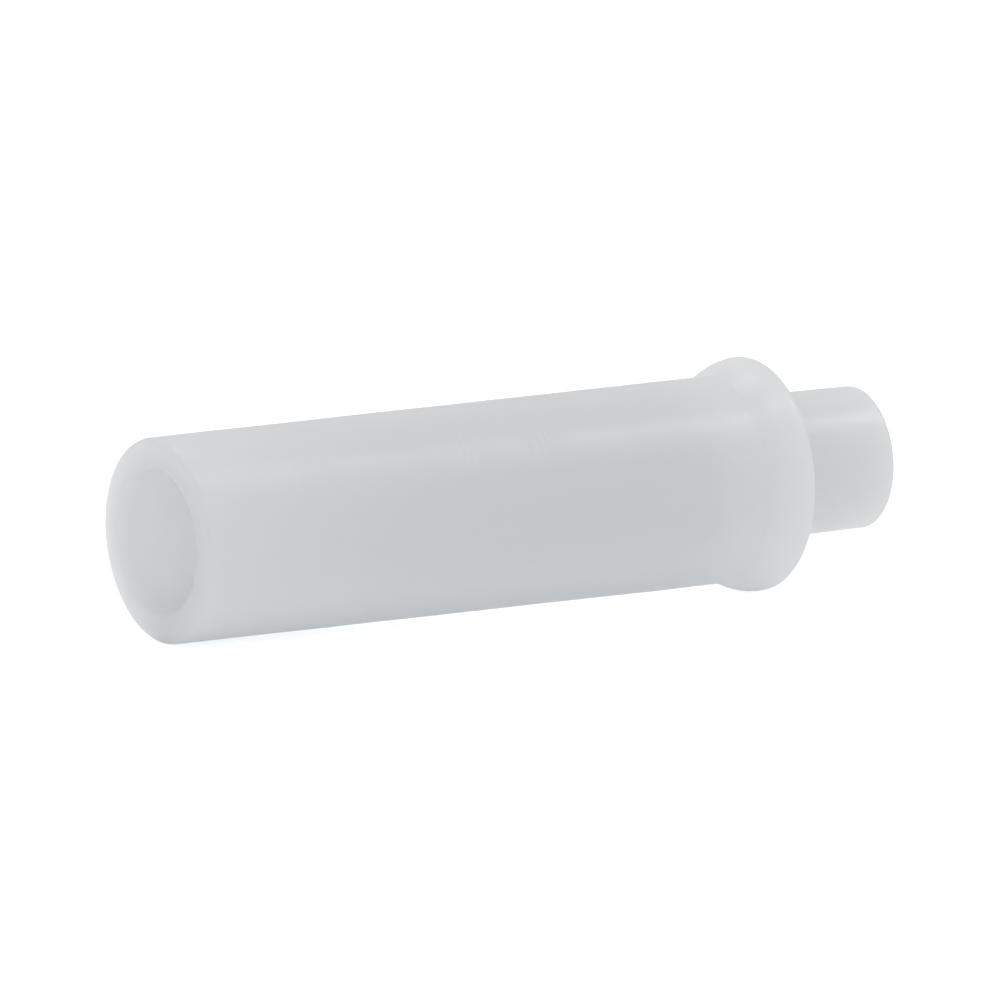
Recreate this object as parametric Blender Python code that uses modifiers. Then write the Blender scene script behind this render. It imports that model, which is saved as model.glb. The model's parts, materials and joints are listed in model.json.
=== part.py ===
"""Saliva ejector tip: a one-piece moulded sleeve that joins a disposable ejector tube to a suction valve.

World frame, in metres: the X axis is the tip's own axis, running from its open mouth to its spigot. +Z is
up, and the origin is at the middle of the tip's length.
"""

import math

import bmesh
import bpy

MM = 0.001

# Lengths along the axis are counted from the face of the mouth.
OVERALL_LENGTH = 37.7 * MM
BARREL_DIAMETER = 9.5 * MM
MOUTH_EDGE_RADIUS = 0.33 * MM

# The bore grips the disposable tube, which stops against the step at its end.
BORE_MOUTH_DIAMETER = 6.5 * MM
BORE_END_DIAMETER = 6.4 * MM
BORE_DEPTH = 27.5 * MM
PASSAGE_DIAMETER = 4.6 * MM
PASSAGE_EDGE_RADIUS = 0.2 * MM

# The collar is a low dome on the barrel's side and a flat shoulder on the spigot's side.
COLLAR_DIAMETER = 10.8 * MM
COLLAR_PEAK = 31.75 * MM
COLLAR_DOME_RADIUS = 2.6 * MM
COLLAR_ROOT_RADIUS = 1.0 * MM
COLLAR_REAR_RADIUS = 0.4 * MM

# The spigot plugs into the valve, and draws in a little towards its end.
SPIGOT_ROOT_DIAMETER = 6.66 * MM
SPIGOT_DRAFT = math.radians(0.55)
SPIGOT_ROOT_FILLET = 0.3 * MM
SPIGOT_END_RADIUS = 0.2 * MM

SEGMENTS = 64
SHARP_ANGLE = math.radians(35)


def clear_scene():
    for obj in list(bpy.data.objects):
        bpy.data.objects.remove(obj)


def plastic(name, colour, roughness):
    material = bpy.data.materials.new(name)
    material.use_nodes = True
    shader = material.node_tree.nodes["Principled BSDF"]
    shader.inputs["Base Color"].default_value = colour
    shader.inputs["Roughness"].default_value = roughness
    shader.inputs["Metallic"].default_value = 0.0
    return material


def arc(centre, radius, start, end, steps):
    """Points (r, z) on an arc. Angles are in degrees: 0 is outward, and 90 is towards the spigot."""
    r, z = centre
    angles = [math.radians(start + (end - start) * i / steps) for i in range(steps + 1)]
    return [(r + radius * math.cos(angle), z + radius * math.sin(angle)) for angle in angles]


def spigot_points():
    """From the inner edge of the spigot's end face, down its outside, to the collar's shoulder."""
    shoulder = COLLAR_PEAK + COLLAR_REAR_RADIUS
    root_radius = SPIGOT_ROOT_DIAMETER / 2
    end_radius = root_radius - (OVERALL_LENGTH - shoulder) * math.tan(SPIGOT_DRAFT)
    end_corner = (end_radius - SPIGOT_END_RADIUS, OVERALL_LENGTH - SPIGOT_END_RADIUS)
    root_corner = (root_radius + SPIGOT_ROOT_FILLET, shoulder + SPIGOT_ROOT_FILLET)
    draft = math.degrees(SPIGOT_DRAFT)
    points = arc(end_corner, SPIGOT_END_RADIUS, 90, draft, 5)
    points += arc(root_corner, SPIGOT_ROOT_FILLET, 180 + draft, 270, 3)
    return points


def collar_points():
    """From the shoulder's outer edge, over the dome, to where its root blends into the barrel."""
    peak_radius = COLLAR_DIAMETER / 2
    rear_centre = (peak_radius - COLLAR_REAR_RADIUS, COLLAR_PEAK)
    dome_centre = (peak_radius - COLLAR_DOME_RADIUS, COLLAR_PEAK)
    # The root's arc is tangent to the barrel and to the dome.
    root_r = BARREL_DIAMETER / 2 + COLLAR_ROOT_RADIUS
    rise = root_r - dome_centre[0]
    reach = math.sqrt((COLLAR_DOME_RADIUS + COLLAR_ROOT_RADIUS) ** 2 - rise**2)
    blend_angle = math.degrees(math.atan2(reach, rise))
    points = arc(rear_centre, COLLAR_REAR_RADIUS, 90, 0, 5)
    points += arc(dome_centre, COLLAR_DOME_RADIUS, 0, -blend_angle, 7)[1:]
    points += arc((root_r, COLLAR_PEAK - reach), COLLAR_ROOT_RADIUS, 180 - blend_angle, 180, 4)[1:]
    return points


def mouth_points():
    """Round the rim of the mouth, from the barrel's outside to the inside of the bore."""
    outer_corner = (BARREL_DIAMETER / 2 - MOUTH_EDGE_RADIUS, MOUTH_EDGE_RADIUS)
    inner_corner = (BORE_MOUTH_DIAMETER / 2 + MOUTH_EDGE_RADIUS, MOUTH_EDGE_RADIUS)
    points = arc(outer_corner, MOUTH_EDGE_RADIUS, 0, -90, 4)
    points += arc(inner_corner, MOUTH_EDGE_RADIUS, 270, 180, 4)
    return points


def inside_points():
    """Up the bore, over its step and through the narrower passage to the spigot's end."""
    bore_end = (BORE_END_DIAMETER / 2, BORE_DEPTH)
    passage_radius = PASSAGE_DIAMETER / 2
    entry_corner = (passage_radius + PASSAGE_EDGE_RADIUS, BORE_DEPTH + PASSAGE_EDGE_RADIUS)
    exit_corner = (passage_radius + PASSAGE_EDGE_RADIUS, OVERALL_LENGTH - PASSAGE_EDGE_RADIUS)
    points = [bore_end]
    points += arc(entry_corner, PASSAGE_EDGE_RADIUS, 270, 180, 3)
    points += arc(exit_corner, PASSAGE_EDGE_RADIUS, 180, 90, 3)
    return points


def turned(name, points, collection, material):
    """A closed solid turned from a closed profile of (r, z) points about its local Z axis."""
    mesh = bpy.data.meshes.new(name)
    outline = bmesh.new()
    verts = [outline.verts.new((r, 0.0, z)) for r, z in points]
    for first, second in zip(verts, verts[1:] + verts[:1]):
        outline.edges.new((first, second))
    outline.to_mesh(mesh)
    outline.free()
    mesh.materials.append(material)
    obj = bpy.data.objects.new(name, mesh)
    collection.objects.link(obj)
    screw = obj.modifiers.new("Turn", "SCREW")
    screw.axis = "Z"
    screw.steps = SEGMENTS
    screw.render_steps = SEGMENTS
    screw.use_merge_vertices = True
    screw.merge_threshold = 0.01 * MM
    screw.use_smooth_shade = True
    return obj


def smooth_with_sharp_edges(obj):
    """Keeps the turned mesh, smooth but for the edges that the mould leaves sharp."""
    graph = bpy.context.evaluated_depsgraph_get()
    turned_mesh = bpy.data.meshes.new_from_object(obj.evaluated_get(graph))
    turned_mesh.name = obj.name
    turned_mesh.shade_smooth()
    turned_mesh.set_sharp_from_angle(angle=SHARP_ANGLE)
    obj.modifiers.clear()
    obj.data = turned_mesh


def tip_body(collection):
    """The whole tip, lying along X with its mouth facing -X."""
    milky_plastic = plastic("milky_plastic", (0.64, 0.66, 0.67, 1.0), 0.38)
    profile = spigot_points() + collar_points() + mouth_points() + inside_points()
    body = turned("tip_body", profile, collection, milky_plastic)
    smooth_with_sharp_edges(body)
    body.rotation_euler = (0.0, math.radians(90), 0.0)
    body.location = (-OVERALL_LENGTH / 2, 0.0, 0.0)


def build():
    clear_scene()
    collection = bpy.data.collections.new("saliva_ejector_tip")
    bpy.context.scene.collection.children.link(collection)
    tip_body(collection)


build()
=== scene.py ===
"""The looks of a saliva ejector tip: a finely moulded skin in milky plastic, in a soft studio."""

import json
import math

import bpy
import numpy as np
from mathutils import Matrix, Vector, noise


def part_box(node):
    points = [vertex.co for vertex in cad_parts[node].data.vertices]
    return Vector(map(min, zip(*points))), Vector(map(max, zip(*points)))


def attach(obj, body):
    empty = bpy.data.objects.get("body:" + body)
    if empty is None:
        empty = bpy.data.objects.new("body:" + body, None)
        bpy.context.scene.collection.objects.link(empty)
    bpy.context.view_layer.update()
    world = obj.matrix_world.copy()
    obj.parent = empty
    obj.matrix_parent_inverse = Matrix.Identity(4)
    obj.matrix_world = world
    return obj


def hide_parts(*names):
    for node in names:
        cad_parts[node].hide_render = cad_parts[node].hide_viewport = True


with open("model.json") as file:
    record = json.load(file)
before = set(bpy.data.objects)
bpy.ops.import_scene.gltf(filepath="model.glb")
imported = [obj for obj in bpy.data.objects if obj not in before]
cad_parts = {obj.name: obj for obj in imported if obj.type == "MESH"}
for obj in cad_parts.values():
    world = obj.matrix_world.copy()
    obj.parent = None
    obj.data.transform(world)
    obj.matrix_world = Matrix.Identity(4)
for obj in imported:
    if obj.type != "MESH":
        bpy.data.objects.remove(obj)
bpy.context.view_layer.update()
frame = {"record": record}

MM = 0.001

# Places along the axis and the collar's radius come from the frame.
NODE_LOW, NODE_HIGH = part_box("tip_body")
MOUNTS = {mount["name"]: Vector(mount["pos_m"]) for mount in frame["record"]["mounts"]}
MOUTH_X = NODE_LOW.x
LENGTH = NODE_HIGH.x - MOUTH_X
COLLAR_RADIUS = NODE_HIGH.z
BORE_DEPTH = MOUNTS["tube_stop"].x - MOUTH_X
SHOULDER = MOUNTS["collar_shoulder"].x - MOUTH_X

# The solid's own section, in the same terms as its design. Lengths along the axis start at the mouth.
BARREL_RADIUS = 4.75 * MM
BORE_MOUTH_RADIUS = 3.25 * MM
BORE_END_RADIUS = 3.2 * MM
PASSAGE_RADIUS = 2.3 * MM
PASSAGE_EDGE = 0.2 * MM
MOUTH_EDGE = 0.33 * MM
COLLAR_DOME = 2.6 * MM
COLLAR_ROOT = 1.0 * MM
COLLAR_REAR = 0.4 * MM
SPIGOT_ROOT_RADIUS = 3.33 * MM
SPIGOT_DRAFT = math.radians(0.55)
SPIGOT_FILLET = 0.3 * MM
SPIGOT_END_EDGE = 0.2 * MM

# The collar and the spigot sit slightly above the barrel's axis.
COLLAR_RISE = 0.11 * MM
SPIGOT_RISE = 0.35 * MM

# The barrel draws in very slightly towards the mouth, whose face leans forward at the top.
BARREL_DRAFT = 0.0016
BARREL_MIDDLE = 15.0 * MM
MOUTH_LEAN = math.tan(math.radians(1.65))
MOUTH_LEAN_REACH = 0.6 * MM

# How finely the skin is divided round the axis, and along each stretch of its section.
AROUND = 256
ARC_STEP = 0.06 * MM
BARREL_STEP = 0.2 * MM
MARK_STEP = 0.045 * MM
INSIDE_STEP = 0.5 * MM

# Groups of fine rings left by the tool on the barrel. Each fades away along it from "at" over its
# "reach", and round it from "centre" over its "spread", in degrees.
TOOL_MARKS = (
    {"at": 4.6 * MM, "reach": 0.9 * MM, "centre": 137, "spread": 16,
     "pitch": 0.30 * MM, "depth": 0.009 * MM},
    {"at": 14.5 * MM, "reach": 0.45 * MM, "centre": 135, "spread": 11,
     "pitch": 0.27 * MM, "depth": 0.022 * MM},
    {"at": 18.6 * MM, "reach": 0.7 * MM, "centre": 137, "spread": 8,
     "pitch": 0.36 * MM, "depth": 0.027 * MM},
)
# Rings fainter than this share of their full depth are left out, which happens within this many reaches.
MARK_FAINTEST = 0.01
MARK_REACHES = 2.2

WAVE_DEPTH = 0.012 * MM
WAVE_LENGTH = 3.2 * MM

# The plastic absorbs almost nothing, least of all blue, and light goes a few millimetres into it.
DENSE_TINT = (0.967, 0.981, 0.992, 1.0)
CLEAR_TINT = (0.981, 0.991, 0.998, 1.0)
SCATTER_DEPTH = 5.0 * MM
PLASTIC_IOR = 1.49
GLOSSIEST = 0.28
DULLEST = 0.36

# The colour sockets of Blender's Mix node, which share their names with its other sockets.
MIX_COLOUR_A = 6
MIX_COLOUR_B = 7
MIX_COLOUR_RESULT = 2

# The tip is lit by pale grey surroundings, while the camera sees a white backdrop behind it.
SURROUNDINGS = 0.58
BACKDROP = 1.06
FLOOR_LIFT = 0.05
FLOOR_GLOW = 0.5
FLOOR_HALF = 900 * MM
BOUNCES = 32

CAMERA_AZIMUTH = -31.9
CAMERA_ELEVATION = 10.2
CAMERA_LENS = 1000.0
SENSOR = 36.0
VIEW_WIDTH = 45.68 * MM
TARGET_X = -0.51 * MM
TARGET_LIFT = 0.16 * MM


def arc(centre, radius, start, end):
    """Points (r, s) on an arc, s along the axis. In degrees, 0 is outward and 90 is towards the spigot."""
    steps = max(3, round(abs(math.radians(end - start)) * radius / ARC_STEP))
    angles = np.radians(np.linspace(start, end, steps + 1))
    return [(centre[0] + radius * math.cos(a), centre[1] + radius * math.sin(a)) for a in angles]


def straight(start, end, step):
    """Points (r, s) between two ends, without the ends themselves."""
    count = max(1, round(math.dist(start, end) / step))
    return [tuple(np.array(start) + (np.array(end) - start) * i / count) for i in range(1, count)]


def barrel_radius(s):
    return BARREL_RADIUS + BARREL_DRAFT * (s - BARREL_MIDDLE)


def near_a_mark(s):
    return any(abs(s - mark["at"]) < MARK_REACHES * mark["reach"] for mark in TOOL_MARKS)


def barrel_side(top, bottom):
    """Points down the barrel's outside, closer together where the tool's rings are."""
    points = []
    s = top - BARREL_STEP
    while s > bottom + BARREL_STEP / 2:
        points.append((barrel_radius(s), s))
        s -= MARK_STEP if near_a_mark(s) else BARREL_STEP
    return points


def smoothstep(value, low, high):
    t = min(1.0, max(0.0, (value - low) / (high - low)))
    return t * t * (3 - 2 * t)


def outer_section():
    """(r, s, rise) from the spigot's end face down the outside to the barrel's end at the mouth."""
    draft = math.degrees(SPIGOT_DRAFT)
    end_radius = SPIGOT_ROOT_RADIUS - (LENGTH - SHOULDER) * math.tan(SPIGOT_DRAFT)
    spigot_end = arc((end_radius - SPIGOT_END_EDGE, LENGTH - SPIGOT_END_EDGE), SPIGOT_END_EDGE, 90, draft)
    root_centre = (SPIGOT_ROOT_RADIUS + SPIGOT_FILLET, SHOULDER + SPIGOT_FILLET)
    root = arc(root_centre, SPIGOT_FILLET, 180 + draft, 270)
    spigot = spigot_end + straight(spigot_end[-1], root[0], BARREL_STEP) + root

    peak = SHOULDER - COLLAR_REAR
    rear = arc((COLLAR_RADIUS - COLLAR_REAR, peak), COLLAR_REAR, 90, 0)
    dome_centre = (COLLAR_RADIUS - COLLAR_DOME, peak)
    root_r = barrel_radius(peak) + COLLAR_ROOT
    rise = root_r - dome_centre[0]
    reach = math.sqrt((COLLAR_DOME + COLLAR_ROOT) ** 2 - rise**2)
    blend = math.degrees(math.atan2(reach, rise))
    root_start = peak - reach
    collar = rear + arc(dome_centre, COLLAR_DOME, 0, -blend)[1:]
    collar += arc((root_r, root_start), COLLAR_ROOT, 180 - blend, 180)[1:]
    shoulder_face = straight(spigot[-1], collar[0], BARREL_STEP)

    rows = [(r, s, SPIGOT_RISE) for r, s in spigot]
    for r, s in shoulder_face:
        across = smoothstep(r, spigot[-1][0], collar[0][0])
        rows.append((r, s, SPIGOT_RISE + (COLLAR_RISE - SPIGOT_RISE) * across))
    rows += [(r, s, COLLAR_RISE * smoothstep(s, root_start, peak)) for r, s in collar]
    rows += [(r, s, 0.0) for r, s in barrel_side(root_start, MOUTH_EDGE)]
    return rows


def mouth_section():
    """Round the rim of the mouth, from the barrel's outside into the bore."""
    outer = arc((barrel_radius(MOUTH_EDGE) - MOUTH_EDGE, MOUTH_EDGE), MOUTH_EDGE, 0, -90)
    inner = arc((BORE_MOUTH_RADIUS + MOUTH_EDGE, MOUTH_EDGE), MOUTH_EDGE, 270, 180)
    return [(r, s, 0.0) for r, s in outer + straight(outer[-1], inner[0], BARREL_STEP) + inner]


def inner_section():
    """Up the bore, over its step and through the passage to the spigot's end face."""
    edge_r = PASSAGE_RADIUS + PASSAGE_EDGE
    bore_start = (BORE_MOUTH_RADIUS, MOUTH_EDGE)
    bore_end = (BORE_END_RADIUS, BORE_DEPTH)
    entry = arc((edge_r, BORE_DEPTH + PASSAGE_EDGE), PASSAGE_EDGE, 270, 180)
    outlet = arc((edge_r, LENGTH - PASSAGE_EDGE), PASSAGE_EDGE, 180, 90)
    points = straight(bore_start, bore_end, INSIDE_STEP) + [bore_end]
    points += straight(bore_end, entry[0], BARREL_STEP) + entry
    points += straight(entry[-1], outlet[0], INSIDE_STEP) + outlet
    return [(r, s, SPIGOT_RISE * smoothstep(s, BORE_DEPTH, SHOULDER)) for r, s in points]


def outward_normals(section):
    """Unit normals (r, s) of a closed section whose outside is walked from the spigot to the mouth."""
    flat = np.array([row[:2] for row in section])
    along = np.roll(flat, -1, axis=0) - np.roll(flat, 1, axis=0)
    normals = np.stack([-along[:, 1], along[:, 0]], axis=1)
    return normals / np.linalg.norm(normals, axis=1, keepdims=True)


def mark_height(s, angle):
    """How far the tool's rings lift the barrel's skin at a place on it."""
    height = 0.0
    for mark in TOOL_MARKS:
        along = (s - mark["at"]) / mark["reach"]
        across = (angle - mark["centre"]) / mark["spread"]
        fade = math.exp(-(along**2) - across**2)
        if fade > MARK_FAINTEST:
            height += mark["depth"] * fade * math.cos(2 * math.pi * (s - mark["at"]) / mark["pitch"])
    return height


def skin_height(place, s, angle, outside):
    """The moulded skin's slow waviness, and on the outside the tool's rings."""
    height = WAVE_DEPTH * noise.noise(place / WAVE_LENGTH)
    if outside:
        height += mark_height(s, angle)
    return height


def skin_mesh():
    section = outer_section() + mouth_section() + inner_section()
    normals = outward_normals(section)
    angles = np.arange(AROUND) * 360.0 / AROUND
    verts = []
    for (r, s, rise), (normal_r, normal_s) in zip(section, normals):
        outside = r > BARREL_RADIUS - MOUTH_EDGE
        lean = MOUTH_LEAN * math.exp(-s / MOUTH_LEAN_REACH)
        for angle in angles:
            y, z = math.cos(math.radians(angle)), math.sin(math.radians(angle))
            place = Vector((s, r * y, r * z))
            height = skin_height(place, s, angle, outside)
            radius = r + height * normal_r
            x = MOUTH_X + s + height * normal_s - lean * radius * z
            verts.append((x, radius * y, radius * z + rise))
    rings = len(section)
    faces = []
    for i in range(rings):
        here, there = i * AROUND, (i + 1) % rings * AROUND
        for j in range(AROUND):
            k = (j + 1) % AROUND
            faces.append((here + j, there + j, there + k, here + k))
    mesh = bpy.data.meshes.new("moulded_tip")
    mesh.from_pydata(verts, [], faces)
    mesh.shade_smooth()
    mesh.validate()
    return mesh


class Nodes:
    """Adds nodes to a material and joins them."""

    def __init__(self, material):
        self.tree = material.node_tree

    def add(self, kind, values=None, **settings):
        node = self.tree.nodes.new(kind)
        for name, value in settings.items():
            setattr(node, name, value)
        for name, value in (values or {}).items():
            node.inputs[name].default_value = value
        return node

    def join(self, source, target):
        self.tree.links.new(source, target)


def milky_plastic():
    """Natural, unpigmented polyolefin: milky, softly translucent, with a satin skin."""
    material = bpy.data.materials.new("milky_plastic")
    material.use_nodes = True
    nodes = Nodes(material)
    shader = material.node_tree.nodes["Principled BSDF"]
    shader.inputs["Metallic"].default_value = 0.0
    shader.inputs["IOR"].default_value = PLASTIC_IOR
    shader.inputs["Subsurface Weight"].default_value = 1.0
    shader.inputs["Subsurface Radius"].default_value = (1.0, 1.0, 1.0)
    shader.inputs["Subsurface Scale"].default_value = SCATTER_DEPTH

    place = nodes.add("ShaderNodeTexCoord").outputs["Object"]

    # Faint cloudiness in the plastic itself.
    cloud = nodes.add("ShaderNodeTexNoise", {"Scale": 260.0, "Detail": 3.0, "Roughness": 0.55})
    nodes.join(place, cloud.inputs["Vector"])
    tint = nodes.add("ShaderNodeMix", data_type="RGBA")
    tint.inputs[MIX_COLOUR_A].default_value = DENSE_TINT
    tint.inputs[MIX_COLOUR_B].default_value = CLEAR_TINT
    nodes.join(cloud.outputs["Fac"], tint.inputs["Factor"])
    nodes.join(tint.outputs[MIX_COLOUR_RESULT], shader.inputs["Base Color"])

    # The skin's gloss comes and goes a little, as handling and the mould leave it.
    smudge = nodes.add("ShaderNodeTexNoise", {"Scale": 420.0, "Detail": 4.0, "Roughness": 0.6})
    nodes.join(place, smudge.inputs["Vector"])
    gloss = nodes.add("ShaderNodeMapRange", {"From Min": 0.3, "From Max": 0.7})
    gloss.inputs["To Min"].default_value = GLOSSIEST
    gloss.inputs["To Max"].default_value = DULLEST
    nodes.join(smudge.outputs["Fac"], gloss.inputs["Value"])
    nodes.join(gloss.outputs["Result"], shader.inputs["Roughness"])

    # Very fine lines run round the tip, over a finer grain.
    stretch = nodes.add("ShaderNodeMapping")
    stretch.inputs["Scale"].default_value = (9000.0, 260.0, 260.0)
    nodes.join(place, stretch.inputs["Vector"])
    lines = nodes.add("ShaderNodeTexNoise", {"Scale": 1.0, "Detail": 2.0, "Roughness": 0.5})
    nodes.join(stretch.outputs["Vector"], lines.inputs["Vector"])
    grain = nodes.add("ShaderNodeTexNoise", {"Scale": 9000.0, "Detail": 2.0, "Roughness": 0.5})
    nodes.join(place, grain.inputs["Vector"])
    line_bump = nodes.add("ShaderNodeBump", {"Strength": 0.12, "Distance": 0.004 * MM})
    nodes.join(lines.outputs["Fac"], line_bump.inputs["Height"])
    grain_bump = nodes.add("ShaderNodeBump", {"Strength": 0.10, "Distance": 0.003 * MM})
    nodes.join(grain.outputs["Fac"], grain_bump.inputs["Height"])
    nodes.join(line_bump.outputs["Normal"], grain_bump.inputs["Normal"])
    nodes.join(grain_bump.outputs["Normal"], shader.inputs["Normal"])
    return material


def moulded_tip():
    piece = bpy.data.objects.new("moulded_tip", skin_mesh())
    bpy.context.scene.collection.objects.link(piece)
    piece.data.materials.append(milky_plastic())
    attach(piece, "root")
    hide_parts("tip_body")


def glow_to_camera(nodes, strength, hidden, seen):
    """Gives a light source one strength where the camera sees it and another where it lights the tip."""
    is_camera = nodes.add("ShaderNodeLightPath").outputs["Is Camera Ray"]
    spread = nodes.add("ShaderNodeMapRange", {"To Min": hidden, "To Max": seen})
    nodes.join(is_camera, spread.inputs["Value"])
    nodes.join(spread.outputs["Result"], strength)


def floor():
    """A pale sheet that touches the collar and the lip of the mouth, as the tip would lie on it."""
    mesh = bpy.data.meshes.new("floor")
    signs = [(-1, -1), (1, -1), (1, 1), (-1, 1)]
    corners = [(x * FLOOR_HALF, y * FLOOR_HALF, 0) for x, y in signs]
    mesh.from_pydata(corners, [], [(0, 1, 2, 3)])
    material = bpy.data.materials.new("pale_floor")
    material.use_nodes = True
    shader = material.node_tree.nodes["Principled BSDF"]
    shader.inputs["Base Color"].default_value = (0.93, 0.93, 0.93, 1.0)
    shader.inputs["Roughness"].default_value = 0.9
    shader.inputs["Specular IOR Level"].default_value = 0.1
    shader.inputs["Emission Color"].default_value = (1.0, 1.0, 1.0, 1.0)
    glow_to_camera(Nodes(material), shader.inputs["Emission Strength"], FLOOR_LIFT, FLOOR_GLOW)
    mesh.materials.append(material)
    sheet = bpy.data.objects.new("floor", mesh)
    bpy.context.scene.collection.objects.link(sheet)
    peak = SHOULDER - COLLAR_REAR
    collar_depth = COLLAR_RADIUS - COLLAR_RISE
    touch = Vector((MOUTH_X + peak, 0, -collar_depth))
    slope = math.atan2(collar_depth - barrel_radius(0), peak - MOUTH_EDGE)
    sheet.matrix_world = Matrix.Translation(touch) @ Matrix.Rotation(slope, 4, "Y")


def direction(azimuth, elevation):
    """From the object outwards. Azimuth 0 is in front, along -Y, and 90 is to the right, along +X."""
    a, e = math.radians(azimuth), math.radians(elevation)
    return Vector((math.sin(a) * math.cos(e), -math.cos(a) * math.cos(e), math.sin(e)))


def softbox(name, place, width, depth, brightness):
    """A rectangular light that faces the origin. Its brightness compares with that of the surroundings."""
    data = bpy.data.lights.new(name, "AREA")
    data.shape = "RECTANGLE"
    data.size = width
    data.size_y = depth
    data.energy = brightness * math.pi * width * depth
    light = bpy.data.objects.new(name, data)
    light.location = place
    light.rotation_euler = place.to_track_quat("Z", "Y").to_euler()
    light.visible_camera = False
    bpy.context.scene.collection.objects.link(light)
    return light


def studio():
    world = bpy.data.worlds.new("studio")
    world.use_nodes = True
    background = world.node_tree.nodes["Background"]
    background.inputs["Color"].default_value = (0.98, 0.99, 1.0, 1.0)
    glow_to_camera(Nodes(world), background.inputs["Strength"], SURROUNDINGS, BACKDROP)
    bpy.context.scene.world = world
    # The light behind shines through the wall into the bore, without glancing off the rims.
    back = softbox("back", Vector((10, 96, 14)) * MM, width=60 * MM, depth=60 * MM, brightness=2.3)
    back.visible_glossy = False
    # The rest draw the long highlight on the barrel, and those on the collar and the spigot.
    softbox("overhead_front", Vector((0, -26, 92)) * MM, width=60 * MM, depth=12 * MM, brightness=3.3)
    softbox("overhead_back", Vector((0, 38, 84)) * MM, width=40 * MM, depth=14 * MM, brightness=2.4)
    softbox("side", Vector((78, -25, 95)) * MM, width=15 * MM, depth=42 * MM, brightness=5.0)
    scene = bpy.context.scene
    scene.view_settings.view_transform = "Standard"
    # Light crosses the milky wall many times before it leaves.
    scene.cycles.diffuse_bounces = BOUNCES
    scene.cycles.max_bounces = BOUNCES


def camera():
    back = direction(CAMERA_AZIMUTH, CAMERA_ELEVATION)
    data = bpy.data.cameras.new("camera")
    data.lens = CAMERA_LENS
    data.sensor_width = SENSOR
    data.clip_start = 0.01
    data.clip_end = 10.0
    view = bpy.data.objects.new("camera", data)
    rotation = (-back).to_track_quat("-Z", "Y")
    target = Vector((TARGET_X, 0, 0)) + rotation @ Vector((0, TARGET_LIFT, 0))
    view.location = target + back * (VIEW_WIDTH * CAMERA_LENS / SENSOR)
    view.rotation_euler = rotation.to_euler()
    bpy.context.scene.collection.objects.link(view)
    bpy.context.scene.camera = view


moulded_tip()
floor()
studio()
camera()
